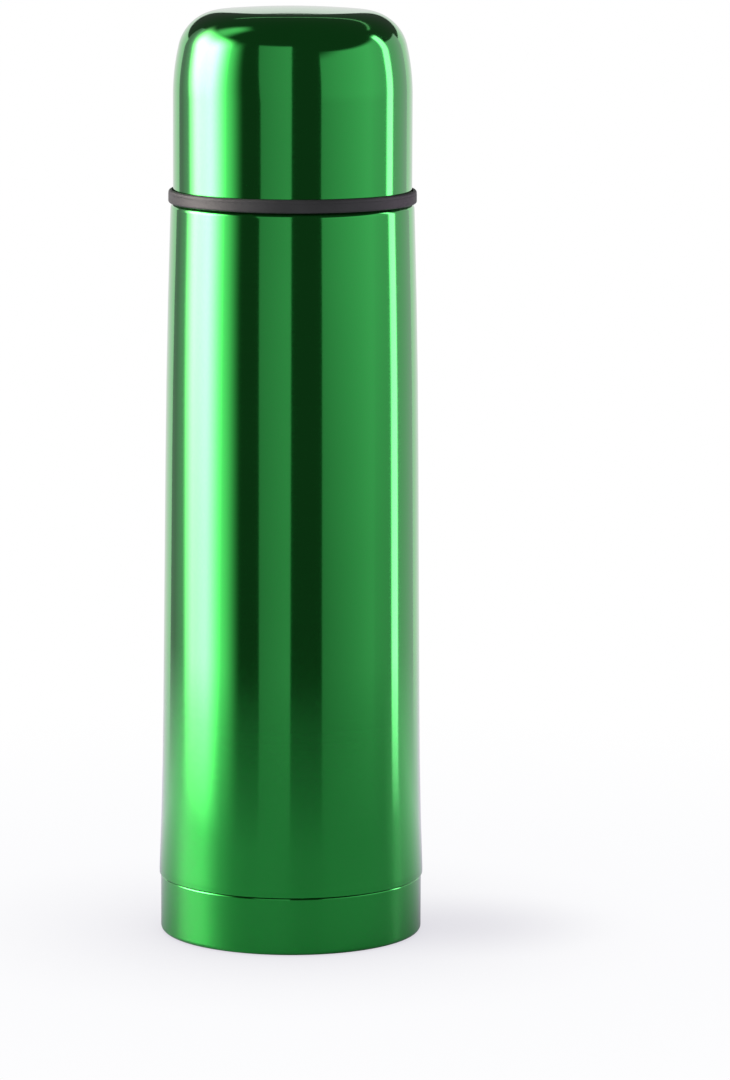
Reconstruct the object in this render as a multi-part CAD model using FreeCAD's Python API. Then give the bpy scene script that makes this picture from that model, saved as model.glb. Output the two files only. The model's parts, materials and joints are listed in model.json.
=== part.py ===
import FreeCAD, Part

import math
import os

# A vacuum flask: a double-walled steel bottle with a screw-on drinking cup and a push-button
# stopper. Every physical piece is a solid of its own. Millimetres, +Z up, the origin at the
# centre of the ring that the flask stands on, the front towards -Y.

Vector = FreeCAD.Vector
UP = Vector(0, 0, 1)

# Overall
LIP_RADIUS = 35.0            # widest place: the rim of the body shell, above the base cup

# Sheet thicknesses
SHELL_WALL = 0.4
BOTTLE_WALL = 0.4
CUP_WALL = 0.5
BASE_WALL = 0.5
FOIL = 0.15
VACUUM_GAP = 2.3

# Base cup and body shell
BASE_CUP_RADIUS = 34.6
BASE_CORNER = 1.2            # bottom corner that meets the table
LIP_Z = 15.4                 # lower edge of the body shell
LIP_TOP_Z = 17.0             # end of the lip's straight land
FLARE_R = 34.169             # where the lower flare and the straight taper would meet
FLARE_Z = 38.5
FLARE_BEND = 1450.0
BULGE_R = 33.029             # where the straight taper and the upper curve would meet
BULGE_Z = 158.5
BULGE_BEND = 2900.0
SHOULDER_R = 31.9
SHOULDER_Z = 193.9
SHOULDER_BEND = 1.5

# Neck and mouth
NECK_R = 25.5                # outside of the steel neck
RIM_Z = 212.0                # top of the mouth
BORE_R = 22.75               # threaded bore of the mouth
THROAT_R = 21.0              # bead under the thread, where the stopper's gasket seats
THROAT_Z = 190.0
SEAT_Z = 193.6               # the seat's cone runs from here up to the bore
BORE_Z = 195.6

# Collar between body and cup
RING_R = 32.52
RING_HEIGHT = 3.5
RING_TOP_Z = SHOULDER_Z + RING_HEIGHT
RING_TOP_BEND = 0.75
RING_BOTTOM_BEND = 0.55
PARTING_Z = RING_TOP_Z - 1.05
RECESS_R = 31.65             # recess in the ring's top, which the cup's edge drops into
RECESS_Z = RING_TOP_Z - 0.9
SLEEVE_R = 27.0
SLEEVE_TOP_Z = 209.0

# Cup
CUP_R = 31.28
CUP_EDGE_Z = RECESS_Z + 0.3
CUP_SIDE_END_Z = 222.0       # end of the straight side
CUP_SIDE_BEND = 58.0         # gentle blend from the side
CUP_CORNER_BEND = 11.7       # tight bend round the crown's edge
CUP_SIDE_TURN = 13.0         # degrees turned by the gentle blend
CUP_TOTAL_TURN = 85.0        # degrees turned where the crown begins
LINER_BORE_R = 28.75         # the liner's wall at its thread
LINER_INSIDE_R = 29.6        # and above it

# Threads: three starts, so that both lids come off in few turns
LEAD = 12.0
STARTS = 3
RIB_TURN = 100.0             # degrees covered by each rib
RIB_ROOT = 1.9               # axial width of a rib at its root
RIB_CREST = 1.1
RIB_SINK = 0.25              # how far a rib's root runs into the wall that carries it
TRACK_OFFSET = LEAD / STARTS / 2
CUP_THREAD_Z = 200.6
COLLAR_CREST_R = 28.2
LINER_CREST_R = 27.5
MOUTH_THREAD_Z = 200.8
MOUTH_CREST_R = 21.9
STOPPER_CREST_R = 22.35

# Stopper
CORE_R = 21.4
CORE_BORE_R = 19.2
CORE_BOTTOM_Z = 197.9
FLANGE_Z = RIM_Z + 0.35
FLANGE_THICK = 2.0
GRIP_R = 25.0
GRIP_TOP_Z = 231.5
GRIP_WALL = 1.8
GRIP_RIBS = 40
FLUTE_R = 1.3                # hollow between two ribs of the grip
FLUTE_OFFSET = 0.75
FLUTE_LENGTH = 14.0
FLUTE_RISE = 1.4
WELL_R = 12.0                # well that the button moves in
WELL_WALL = 1.2
GUIDE_R = 5.6
STEM_R = 2.2
HOUSING_R = 20.4
HOUSING_WALL = 2.0
HOUSING_NECK_R = CORE_BORE_R
HOUSING_SHOULDER_Z = 194.3
HOUSING_Z = 186.0
GASKET_R = MOUTH_CREST_R - 0.3
PORT_R = 8.0
BUTTON_R = 11.7
BUTTON_TOP_Z = 233.0
WINDOW_WIDTH = 4.4
CLEAR = 0.3                  # between faces of pieces that move on each other


def place(radius, z):
    """A point of an outline: radius from the axis and height."""
    return Vector(radius, 0, z)


def rounded_edges(corners, closed):
    """Straight edges through (radius, z, bend) corners, with an arc of radius bend at each."""
    count = len(corners)
    entries = []
    for i, corner in enumerate(corners):
        here = place(corner[0], corner[1])
        bend = corner[2] if len(corner) > 2 else 0
        if bend == 0 or (not closed and i in (0, count - 1)):
            entries.append((here, None, here))
            continue
        before = place(*corners[i - 1][:2])
        after = place(*corners[(i + 1) % count][:2])
        back = (before - here).normalize()
        ahead = (after - here).normalize()
        half = back.getAngle(ahead) / 2
        reach = bend / math.tan(half)
        bisector = (back + ahead).normalize()
        middle = here + bisector * (bend / math.sin(half) - bend)
        entries.append((here + back * reach, middle, here + ahead * reach))
    edges = []
    for i, (start, middle, end) in enumerate(entries):
        if middle is not None:
            edges.append(Part.Arc(start, middle, end).toShape())
        if i + 1 < count or closed:
            following = entries[(i + 1) % count][0]
            if (following - end).Length > 1e-6:
                edges.append(Part.LineSegment(end, following).toShape())
    return edges


def turned(corners):
    """A solid turned from a closed outline."""
    wire = Part.Wire(rounded_edges(corners, closed=True))
    return spun(Part.Face(wire))


def spun(face):
    """A full turn of a flat face about Z, as one solid."""
    return face.revolve(Vector(0, 0, 0), UP, 360)


def sheet(edges, wall):
    """A turned sheet of even thickness beside a chain of edges: + is to the left of its way."""
    return spun(Part.Wire(edges).makeOffset2D(wall, 0, True, True, False))


def cylinder(radius, z_low, z_high):
    """A solid cylinder on the axis."""
    return Part.makeCylinder(radius, z_high - z_low, Vector(0, 0, z_low))


def tube(outer, inner, z_low, z_high):
    """A plain ring on the axis."""
    return cylinder(outer, z_low, z_high).cut(cylinder(inner, z_low, z_high))


def around(shape, count):
    """Copies of a shape evenly spaced about the axis."""
    copies = []
    for i in range(count):
        copy = shape.copy()
        copy.rotate(Vector(0, 0, 0), UP, 360.0 * i / count)
        copies.append(copy)
    return copies


def joined(base, pieces):
    """Base with pieces fused on, cleaned of the seams between them."""
    result = base.fuse(pieces)
    return result.removeSplitter()


def ribs(wall_radius, crest_radius, z_start):
    """The thread ribs on a wall: one per start, each a part of a turn, rising to the left."""
    outward = 1 if crest_radius > wall_radius else -1
    root = wall_radius - outward * RIB_SINK
    rise = LEAD * RIB_TURN / 360.0
    path = Part.makeHelix(LEAD, rise, wall_radius)
    outline = [
        Vector(root, 0, -RIB_ROOT / 2),
        Vector(crest_radius, 0, -RIB_CREST / 2),
        Vector(crest_radius, 0, RIB_CREST / 2),
        Vector(root, 0, RIB_ROOT / 2),
    ]
    section = Part.makePolygon(outline + outline[:1])
    rib = Part.Wire(path).makePipeShell([section], True, True)
    rib.translate(Vector(0, 0, z_start))
    return around(rib, STARTS)


def box(x_low, x_high, y_low, y_high, z_low, z_high):
    """A box from its limits."""
    size = (x_high - x_low, y_high - y_low, z_high - z_low)
    return Part.makeBox(*size, Vector(x_low, y_low, z_low))


def coil(mean_radius, wire_radius, length, turns):
    """A closed-end coil spring standing on z = 0."""
    pitch = (length - 2 * wire_radius) / turns
    path = Part.makeHelix(pitch, pitch * turns, mean_radius)
    ring = Part.makeCircle(wire_radius, Vector(mean_radius, 0, 0), Vector(0, 1, 0))
    spring = Part.Wire(path).makePipeShell([Part.Wire(ring)], True, True)
    spring.translate(Vector(0, 0, wire_radius))
    return spring


# ---------------------------------------------------------------- flask body

def body_side():
    """The body's outside from the lip up to the neck's end."""
    return [
        (LIP_RADIUS, LIP_Z),
        (LIP_RADIUS, LIP_TOP_Z),
        (FLARE_R, FLARE_Z, FLARE_BEND),
        (BULGE_R, BULGE_Z, BULGE_BEND),
        (SHOULDER_R, SHOULDER_Z, SHOULDER_BEND),
        (NECK_R, SHOULDER_Z, 1.0),
        (NECK_R, RIM_Z - BOTTLE_WALL),
    ]


def outer_shell():
    """Body tube, shoulder and neck, drawn from one sheet."""
    return sheet(rounded_edges(body_side(), closed=False), SHELL_WALL)


def taper_radius(z):
    """Radius of the body's straight taper at a height."""
    slope = (BULGE_R - FLARE_R) / (BULGE_Z - FLARE_Z)
    return FLARE_R + slope * (z - FLARE_Z)


BOTTLE_FLOOR_Z = 22.8        # wetted side, round the raised middle
BOTTLE_FLOOR_RISE = 3.6
BOTTLE_SHOULDER_Z = 186.1
BOTTLE_FLOOR_BEND = 6.6
BOTTLE_SHOULDER_BEND = 7.6


def bottle_radius(z):
    """Wetted radius of the inner bottle's side, which runs along the shell's taper."""
    return taper_radius(z) - SHELL_WALL - VACUUM_GAP - BOTTLE_WALL


def bottle_inside():
    """The wetted outline of the inner bottle, from the middle of its floor to its rim."""
    raised_z = BOTTLE_FLOOR_Z + BOTTLE_FLOOR_RISE
    floor_r = bottle_radius(BOTTLE_FLOOR_Z)
    shoulder_r = bottle_radius(BOTTLE_SHOULDER_Z)
    return [
        (0, raised_z),
        (9.0, raised_z, 12.0),
        (22.0, BOTTLE_FLOOR_Z, 12.0),
        (floor_r, BOTTLE_FLOOR_Z, BOTTLE_FLOOR_BEND),
        (shoulder_r, BOTTLE_SHOULDER_Z, BOTTLE_SHOULDER_BEND),
        (THROAT_R, THROAT_Z, 1.6),
        (THROAT_R, SEAT_Z, 0.8),
        (BORE_R, BORE_Z, 0.8),
        (BORE_R, RIM_Z, 0.8),
        (NECK_R, RIM_Z),
    ]


def inner_bottle():
    """The steel bottle that holds the drink; its mouth carries the stopper's thread."""
    shape = sheet(rounded_edges(bottle_inside(), closed=False), -BOTTLE_WALL)
    return joined(shape, ribs(BORE_R, MOUTH_CREST_R, MOUTH_THREAD_Z))


def heat_shield():
    """Foil wrapped round the straight side of the inner bottle, to reflect heat."""
    low = BOTTLE_FLOOR_Z + 12.0
    high = BOTTLE_SHOULDER_Z - 12.0
    outside = BOTTLE_WALL + 0.02
    low_r = bottle_radius(low) + outside
    high_r = bottle_radius(high) + outside
    return turned([(low_r, low), (low_r + FOIL, low), (high_r + FOIL, high), (high_r, high)])


PLATE_Z = 19.6               # top of the plate under the vacuum gap
PLATE_FLANGE_R = 34.5
PLATE_FLANGE_Z = 16.6
PIT_R = 7.0                  # pit in the plate's middle, round the pump-out hole
PIT_HEIGHT = 1.1
PUMP_HOLE_R = 1.5
PLUG_R = 3.6


def vacuum_base():
    """Plate welded into the shell's lower end, with a pit round the pump-out hole."""
    path = [
        (PLATE_FLANGE_R, PLATE_FLANGE_Z),
        (PLATE_FLANGE_R, PLATE_Z, 0.9),
        (PIT_R + 1.0, PLATE_Z, 0.6),
        (PIT_R - 0.4, PLATE_Z + PIT_HEIGHT, 0.6),
        (PUMP_HOLE_R, PLATE_Z + PIT_HEIGHT),
    ]
    return sheet(rounded_edges(path, closed=False), SHELL_WALL)


def seal_plug():
    """Glass solder bead melted over the pump-out hole, inside the pit."""
    top = PLATE_Z + PIT_HEIGHT - SHELL_WALL
    return turned([(0, top), (0, top - 1.3), (PLUG_R, top - 1.3, 0.6), (PLUG_R, top)])


GETTER_X = 16.0
GETTER_R = 4.0
GETTER_HEIGHT = 1.5
STRAP = 0.3


def getter():
    """The pill that soaks up stray gas in the vacuum gap."""
    pill = cylinder(GETTER_R, PLATE_Z, PLATE_Z + GETTER_HEIGHT)
    pill.translate(Vector(GETTER_X, 0, 0))
    return pill


def getter_clip():
    """A strap over the getter with a foot at each end, spot-welded to the plate."""
    strap = 1.5
    reach = GETTER_R + 0.1
    top = PLATE_Z + GETTER_HEIGHT + STRAP
    foot = 3.0
    bridge = box(-reach - STRAP, reach + STRAP, -strap, strap, PLATE_Z, top)
    hollow = box(-reach, reach, -strap, strap, PLATE_Z, top - STRAP)
    feet = [box(reach, reach + foot, -strap, strap, PLATE_Z, PLATE_Z + STRAP)]
    feet.append(box(-reach - foot, -reach, -strap, strap, PLATE_Z, PLATE_Z + STRAP))
    clip = joined(bridge.cut(hollow), feet)
    clip.rotate(Vector(0, 0, 0), UP, 90)
    clip.translate(Vector(GETTER_X, 0, 0))
    return clip


def base_cup():
    """The cap under the body: a stepped-in upper edge, a plain side and a standing ring."""
    insert_r = PLATE_FLANGE_R - SHELL_WALL
    path = [
        (insert_r, PLATE_Z - 1.2),
        (insert_r, LIP_Z + 0.7, 0.3),
        (BASE_CUP_RADIUS, LIP_Z - 0.1, 0.3),
        (BASE_CUP_RADIUS, 0, BASE_CORNER),
        (29.0, 0, 1.0),
        (26.6, 1.4, 1.0),
        (0, 1.4),
    ]
    return sheet(rounded_edges(path, closed=False), -BASE_WALL)


def neck_collar():
    """Plastic collar pressed on the neck: the ring that shows and the sleeve for the cup."""
    groove = 0.05
    outline = [
        (NECK_R + 1.3, SHOULDER_Z),
        (RING_R, SHOULDER_Z, RING_BOTTOM_BEND),
        (RING_R, PARTING_Z - groove),
        (RING_R - groove, PARTING_Z),
        (RING_R - groove / 2, PARTING_Z + groove),
        (RING_R - groove, RING_TOP_Z, RING_TOP_BEND),
        (RECESS_R, RING_TOP_Z, 0.06),
        (RECESS_R, RECESS_Z, 0.15),
        (SLEEVE_R, RECESS_Z, 0.6),
        (SLEEVE_R, SLEEVE_TOP_Z, 0.4),
        (NECK_R, SLEEVE_TOP_Z),
        (NECK_R, SHOULDER_Z + 1.3),
    ]
    return joined(turned(outline), ribs(SLEEVE_R, COLLAR_CREST_R, CUP_THREAD_Z))


# ---------------------------------------------------------------- cup

def dome_edges(inset, z_from):
    """The cup's outline from its side to the middle of the crown, moved in by inset."""
    side_turn = math.radians(CUP_SIDE_TURN)
    total_turn = math.radians(CUP_TOTAL_TURN)
    side_bend = CUP_SIDE_BEND - inset
    corner_bend = CUP_CORNER_BEND - inset
    side_centre = place(CUP_R - CUP_SIDE_BEND, CUP_SIDE_END_Z)
    blend_end = side_centre + place(math.cos(side_turn), math.sin(side_turn)) * CUP_SIDE_BEND
    inward = place(math.cos(side_turn), math.sin(side_turn)) * CUP_CORNER_BEND
    corner_centre = blend_end - inward

    def on_arc(centre, radius, angle):
        return centre + place(math.cos(angle), math.sin(angle)) * radius

    crown_start = on_arc(corner_centre, CUP_CORNER_BEND, total_turn)
    crown_bend = crown_start.x / math.cos(total_turn)
    crown_centre = place(0, crown_start.z - crown_bend * math.sin(total_turn))
    crown_turn = (total_turn + math.pi / 2) / 2
    start = place(CUP_R - inset, z_from)
    side_top = place(CUP_R - inset, CUP_SIDE_END_Z)
    blend_top = on_arc(side_centre, side_bend, side_turn)
    corner_top = on_arc(corner_centre, corner_bend, total_turn)
    crown_top = place(0, crown_centre.z + crown_bend - inset)
    blend_middle = on_arc(side_centre, side_bend, side_turn / 2)
    corner_middle = on_arc(corner_centre, corner_bend, (side_turn + total_turn) / 2)
    crown_middle = on_arc(crown_centre, crown_bend - inset, crown_turn)
    return [
        Part.LineSegment(start, side_top).toShape(),
        Part.Arc(side_top, blend_middle, blend_top).toShape(),
        Part.Arc(blend_top, corner_middle, corner_top).toShape(),
        Part.Arc(corner_top, crown_middle, crown_top).toShape(),
    ]


def between(outer_edges, inner_edges):
    """A turned wall between two outlines that both end on the axis."""
    low = Part.LineSegment(inner_edges[0].firstVertex().Point, outer_edges[0].firstVertex().Point)
    top = Part.LineSegment(outer_edges[-1].lastVertex().Point, inner_edges[-1].lastVertex().Point)
    edges = [low.toShape()] + outer_edges + [top.toShape()] + inner_edges
    return spun(Part.Face(Part.Wire(Part.sortEdges(edges)[0])))


def cup_shell():
    """The lacquered steel dome."""
    return between(dome_edges(0, CUP_EDGE_Z), dome_edges(CUP_WALL, CUP_EDGE_Z))


LEDGE_Z = 211.2              # step inside the liner that carries the seal
LEDGE_R = 27.7


def cup_liner():
    """The dome's lining, thick at its mouth where it carries the thread."""
    inside = CUP_R - LINER_INSIDE_R
    lining = between(dome_edges(CUP_WALL, CUP_EDGE_Z), dome_edges(inside, CUP_EDGE_Z))
    mouth = tube(CUP_R - CUP_WALL, LINER_BORE_R, CUP_EDGE_Z, LEDGE_Z)
    ledge = turned([
        (CUP_R - CUP_WALL, LEDGE_Z),
        (CUP_R - CUP_WALL, LEDGE_Z + 3.0),
        (LINER_INSIDE_R, LEDGE_Z + 3.0),
        (LEDGE_R, LEDGE_Z + 1.1, 0.2),
        (LEDGE_R, LEDGE_Z),
    ])
    threads = ribs(LINER_BORE_R, LINER_CREST_R, CUP_THREAD_Z + TRACK_OFFSET)
    return joined(lining, [mouth, ledge] + threads)


def cup_seal():
    """Silicone ring between the liner's step and the collar's top edge."""
    outer = LINER_BORE_R - CLEAR
    return turned([
        (NECK_R + 0.45, SLEEVE_TOP_Z + CLEAR, 0.3),
        (outer, SLEEVE_TOP_Z + CLEAR, 0.3),
        (outer, LEDGE_Z - CLEAR, 0.3),
        (NECK_R + 0.45, LEDGE_Z - CLEAR, 0.3),
    ])


# ---------------------------------------------------------------- stopper

def windows(outer_reach):
    """Slots through the sleeve between its thread ribs, which the drink is poured through."""
    low = MOUTH_THREAD_Z + 1.0
    slot = box(CORE_BORE_R - 4.0, outer_reach, -WINDOW_WIDTH / 2, WINDOW_WIDTH / 2, low, low + 6.0)
    middle_of_gap = (RIB_TURN + 360.0 / STARTS) / 2
    slot.rotate(Vector(0, 0, 0), UP, middle_of_gap)
    return around(slot, STARTS)


FLOOR_Z = 209.0              # floor between the wet sleeve and the dry grip
GUIDE_LOW_Z = 206.0
GUIDE_TOP_Z = 217.5
STEM_SEAL_R = 4.0
STEM_SEAL_HEIGHT = 1.8


def stopper_core():
    """Threaded sleeve, flange over the mouth, floor and the guide of the stem."""
    flange_top = FLANGE_Z + FLANGE_THICK
    grip_inside = GRIP_R - GRIP_WALL
    body = cylinder(CORE_R, CORE_BOTTOM_Z, flange_top)
    body = body.fuse(cylinder(grip_inside, FLANGE_Z, flange_top))
    body = body.fuse(cylinder(GUIDE_R, flange_top, GUIDE_TOP_Z))
    body = body.cut(cylinder(CORE_BORE_R, CORE_BOTTOM_Z, FLOOR_Z))
    body = body.fuse(cylinder(GUIDE_R, GUIDE_LOW_Z, FLOOR_Z))
    body = body.cut(cylinder(STEM_R + 0.08, GUIDE_LOW_Z, GUIDE_TOP_Z))
    body = body.cut(cylinder(STEM_SEAL_R, GUIDE_TOP_Z - STEM_SEAL_HEIGHT, GUIDE_TOP_Z))
    body = joined(body, ribs(CORE_R, STOPPER_CREST_R, MOUTH_THREAD_Z + TRACK_OFFSET))
    return body.cut(windows(CORE_R + 1.5))


LATCH_Z = 222.6              # middle height of the catch
LATCH_HEIGHT = 5.0
LATCH_HALF_WIDTH = 4.0
LATCH_NOSE_HEIGHT = 2.0
LATCH_NOSE_Y = -WELL_R - 2.1
LATCH_SPRING_Z = LATCH_Z - 1.0
LATCH_SPRING_R = 1.3         # outside of the small coil
PAD_HALF_WIDTH = 6.0
PAD_HEIGHT = 6.4
PAD_FACE_R = GRIP_R + 0.35
PAD_THICK = 1.5


def latch_tunnel():
    """The window for the thumb pad in the grip's wall, and a slot for the nose in the well's."""
    half = PAD_HALF_WIDTH + CLEAR
    low = LATCH_Z - PAD_HEIGHT / 2 - CLEAR
    high = LATCH_Z + PAD_HEIGHT / 2 + CLEAR
    window = box(-half, half, -GRIP_R - 1.0, -GRIP_R + 6.0, low, high)
    nose_half = LATCH_HALF_WIDTH + CLEAR
    nose_high = LATCH_Z + LATCH_HEIGHT / 2
    nose_low = nose_high - LATCH_NOSE_HEIGHT
    slot_low = nose_low - CLEAR
    slot_high = nose_high + CLEAR
    slot = box(-nose_half, nose_half, -WELL_R - 3.0, -WELL_R + 4.0, slot_low, slot_high)
    return [window, slot]


def stopper_grip():
    """Ribbed cap pressed on the core, with the well that the button moves in."""
    well_low = FLANGE_Z + FLANGE_THICK
    inside = GRIP_R - GRIP_WALL
    outside = turned([
        (0, FLANGE_Z),
        (GRIP_R, FLANGE_Z, 0.4),
        (GRIP_R, GRIP_TOP_Z, 2.2),
        (0, GRIP_TOP_Z),
    ])
    chamber = tube(inside, WELL_R + WELL_WALL, FLANGE_Z, GRIP_TOP_Z - GRIP_WALL)
    body = outside.cut(chamber)
    body = body.cut(cylinder(inside, FLANGE_Z, well_low))
    body = body.cut(cylinder(WELL_R, FLANGE_Z, GRIP_TOP_Z))
    flute_place = Vector(GRIP_R + FLUTE_OFFSET, 0, FLANGE_Z + FLUTE_RISE)
    flute = Part.makeCylinder(FLUTE_R, FLUTE_LENGTH, flute_place)
    body = body.cut(around(flute, GRIP_RIBS))
    return body.cut(latch_tunnel())


def stopper_foam():
    """Foam ring that fills the grip's hollow, slotted for the catch."""
    outer = GRIP_R - GRIP_WALL
    inner = WELL_R + WELL_WALL
    ring = tube(outer, inner, FLANGE_Z + FLANGE_THICK, GRIP_TOP_Z - GRIP_WALL)
    half = PAD_HALF_WIDTH + 0.8
    low = LATCH_Z - PAD_HEIGHT / 2 - 0.8
    slot = box(-half, half, -GRIP_R, -inner + 2.5, low, GRIP_TOP_Z)
    return ring.cut(slot)


def stopper_housing():
    """Cage clipped into the core's sleeve, with the valve's port in its floor."""
    shoulder_z = HOUSING_SHOULDER_Z
    inner = HOUSING_R - HOUSING_WALL
    outline = [
        (PORT_R, HOUSING_Z),
        (HOUSING_R, HOUSING_Z, 1.2),
        (HOUSING_R, shoulder_z),
        (HOUSING_NECK_R, shoulder_z),
        (HOUSING_NECK_R, CORE_BOTTOM_Z + 9.0),
        (inner - 0.6, CORE_BOTTOM_Z + 9.0),
        (inner - 0.6, HOUSING_Z + 2.0, 1.0),
        (PORT_R, HOUSING_Z + 2.0),
    ]
    return turned(outline).cut(windows(CORE_R + 1.5))


def stopper_gasket():
    """Silicone ring that closes on the neck's seat when the stopper is screwed home."""
    inner = HOUSING_NECK_R + 0.2
    low = HOUSING_SHOULDER_Z + CLEAR
    high = CORE_BOTTOM_Z - CLEAR
    return turned([
        (inner, low),
        (GASKET_R - 0.45, low, 0.2),
        (GASKET_R, low + 0.7, 0.3),
        (GASKET_R, high, 0.4),
        (inner, high, 0.2),
    ])


STEM_LOW_Z = 180.6
STEM_TOP_Z = 230.0
VALVE_R = 10.0
VALVE_THICK = 2.2
BUTTON_SKIRT_Z = 218.5
BUTTON_BOSS_R = 4.2
BUTTON_BOSS_Z = 222.5
BUTTON_ROOF = 1.8
SPRING_MEAN_R = 7.6
SPRING_WIRE_R = 0.45
SPRING_TURNS = 6
LATCH_WIRE_R = 0.2
LATCH_TURNS = 6
POCKET_DEPTH = 2.4


def push_button():
    """The round button: a crowned top, a skirt and a boss that grips the stem."""
    skirt_low = BUTTON_SKIRT_Z
    roof_z = BUTTON_TOP_Z - BUTTON_ROOF
    cap = turned([
        (0, skirt_low),
        (BUTTON_R, skirt_low),
        (BUTTON_R, BUTTON_TOP_Z - 0.8, 0.7),
        (BUTTON_R - 4.5, BUTTON_TOP_Z, 8.0),
        (0, BUTTON_TOP_Z),
    ])
    hollow = tube(BUTTON_R - 1.3, BUTTON_BOSS_R, skirt_low, roof_z)
    below_boss = cylinder(BUTTON_BOSS_R, skirt_low, BUTTON_BOSS_Z)
    stem_hole = cylinder(STEM_R, skirt_low, STEM_TOP_Z)
    return cap.cut([hollow, below_boss, stem_hole])


def button_spring():
    """Coil spring round the guide, between the core's flange and the button's roof."""
    low = FLANGE_Z + FLANGE_THICK
    high = BUTTON_TOP_Z - BUTTON_ROOF
    spring = coil(SPRING_MEAN_R, SPRING_WIRE_R, high - low, SPRING_TURNS)
    spring.translate(Vector(0, 0, low))
    return spring


def valve_stem():
    """The rod that carries the button's push down to the valve."""
    return turned([
        (0, STEM_LOW_Z),
        (STEM_R, STEM_LOW_Z, 0.4),
        (STEM_R, STEM_TOP_Z, 0.3),
        (0, STEM_TOP_Z),
    ])


def stem_seal():
    """Silicone ring in the top of the guide, round the stem."""
    thick = (STEM_SEAL_R - STEM_R - 0.08) / 2
    middle = STEM_R + 0.08 + thick
    height = GUIDE_TOP_Z - STEM_SEAL_HEIGHT + thick
    return Part.makeTorus(middle, thick, Vector(0, 0, height), UP)


def valve_seal():
    """Silicone disc that closes the port from below."""
    top = HOUSING_Z - 0.15
    low = top - VALVE_THICK
    return turned([
        (STEM_R, low),
        (VALVE_R - 0.8, low, 0.3),
        (VALVE_R, top - 0.7, 0.2),
        (VALVE_R, top, 0.2),
        (PORT_R - 1.0, top, 0.2),
        (PORT_R - 2.0, top + 0.9, 0.3),
        (STEM_R, top + 0.9),
    ])


def valve_retainer():
    """Plastic disc and nut that hold the valve's seal on the stem."""
    top = HOUSING_Z - 0.15 - VALVE_THICK
    return turned([
        (STEM_R, top - 2.6),
        (4.0, top - 2.6, 0.5),
        (4.0, top - 1.2, 0.4),
        (8.0, top - 1.2, 0.4),
        (8.0, top),
        (STEM_R, top),
    ])


def release_latch():
    """Sliding catch: a grooved thumb pad outside and a nose that reaches the button's well."""
    low = LATCH_Z - LATCH_HEIGHT / 2
    high = LATCH_Z + LATCH_HEIGHT / 2
    pad_back = -PAD_FACE_R + PAD_THICK
    body_end = LATCH_NOSE_Y - 3.0
    bar = box(-LATCH_HALF_WIDTH, LATCH_HALF_WIDTH, pad_back, body_end, low, high)
    nose_low = high - LATCH_NOSE_HEIGHT
    nose = box(-LATCH_HALF_WIDTH, LATCH_HALF_WIDTH, body_end, LATCH_NOSE_Y, nose_low, high)
    pad_low = LATCH_Z - PAD_HEIGHT / 2
    pad = box(-PAD_HALF_WIDTH, PAD_HALF_WIDTH, -GRIP_R - 2.0, pad_back, pad_low, pad_low + PAD_HEIGHT)
    upright = [edge for edge in pad.Edges if abs(edge.tangentAt(0).y) > 0.9]
    pad = pad.makeFillet(1.2, upright)
    pad = pad.common(cylinder(PAD_FACE_R, pad_low, pad_low + PAD_HEIGHT))
    grooves = []
    for step in (-1, 0, 1):
        groove = tube(GRIP_R + 2.0, PAD_FACE_R - 0.3, -0.3, 0.3)
        groove.translate(Vector(0, 0, LATCH_Z + step * 1.5))
        grooves.append(groove)
    mouth = Vector(0, body_end, LATCH_SPRING_Z)
    pocket = Part.makeCylinder(LATCH_SPRING_R + 0.15, POCKET_DEPTH, mouth, Vector(0, -1, 0))
    return joined(bar, [nose, pad]).cut(grooves + [pocket])


def latch_spring():
    """Small coil between the well's wall and the catch's pocket, which pushes the catch out."""
    wire = LATCH_WIRE_R
    reach = -WELL_R - WELL_WALL - 0.1
    pocket_end = LATCH_NOSE_Y - 3.0 - POCKET_DEPTH
    spring = coil(LATCH_SPRING_R - wire, wire, reach - pocket_end, LATCH_TURNS)
    spring.rotate(Vector(0, 0, 0), Vector(1, 0, 0), -90)
    spring.translate(Vector(0, pocket_end, LATCH_SPRING_Z))
    return spring


PIECES = [
    outer_shell, inner_bottle, heat_shield, vacuum_base, seal_plug, getter, getter_clip,
    base_cup, neck_collar,
    cup_shell, cup_liner, cup_seal,
    stopper_core, stopper_grip, stopper_foam, stopper_housing, stopper_gasket,
    push_button, button_spring, valve_stem, stem_seal, valve_seal, valve_retainer,
    release_latch, latch_spring,
]

os.makedirs("parts", exist_ok=True)
for piece in PIECES:
    solid = piece()
    if len(solid.Solids) == 1:
        solid = solid.Solids[0]
    solid.exportStep(os.path.join("parts", piece.__name__ + ".step"))
    limits = solid.BoundBox
    print("%-16s solids %d valid %s volume %9.1f z %.2f..%.2f r %.2f" % (
        piece.__name__, len(solid.Solids), solid.isValid(), solid.Volume,
        limits.ZMin, limits.ZMax, limits.XMax))
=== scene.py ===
import json
import math

import bmesh
import bpy
import numpy as np
from mathutils import Matrix, Vector


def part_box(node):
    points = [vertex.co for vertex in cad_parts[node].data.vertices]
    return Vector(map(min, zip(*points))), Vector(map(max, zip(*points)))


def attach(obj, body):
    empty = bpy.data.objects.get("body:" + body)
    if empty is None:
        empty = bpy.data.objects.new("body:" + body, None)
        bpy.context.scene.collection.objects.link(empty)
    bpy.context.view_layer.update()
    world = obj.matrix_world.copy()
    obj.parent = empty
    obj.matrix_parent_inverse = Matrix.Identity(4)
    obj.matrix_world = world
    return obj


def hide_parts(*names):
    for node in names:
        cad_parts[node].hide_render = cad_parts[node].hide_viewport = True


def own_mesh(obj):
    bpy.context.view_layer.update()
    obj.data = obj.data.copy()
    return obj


# The vacuum flask's looks. The large turned pieces and the two springs are rebuilt as fine meshes;
# the rest keep their CAD shape. Outlines are in millimetres and become metres in a mesh.

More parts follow.
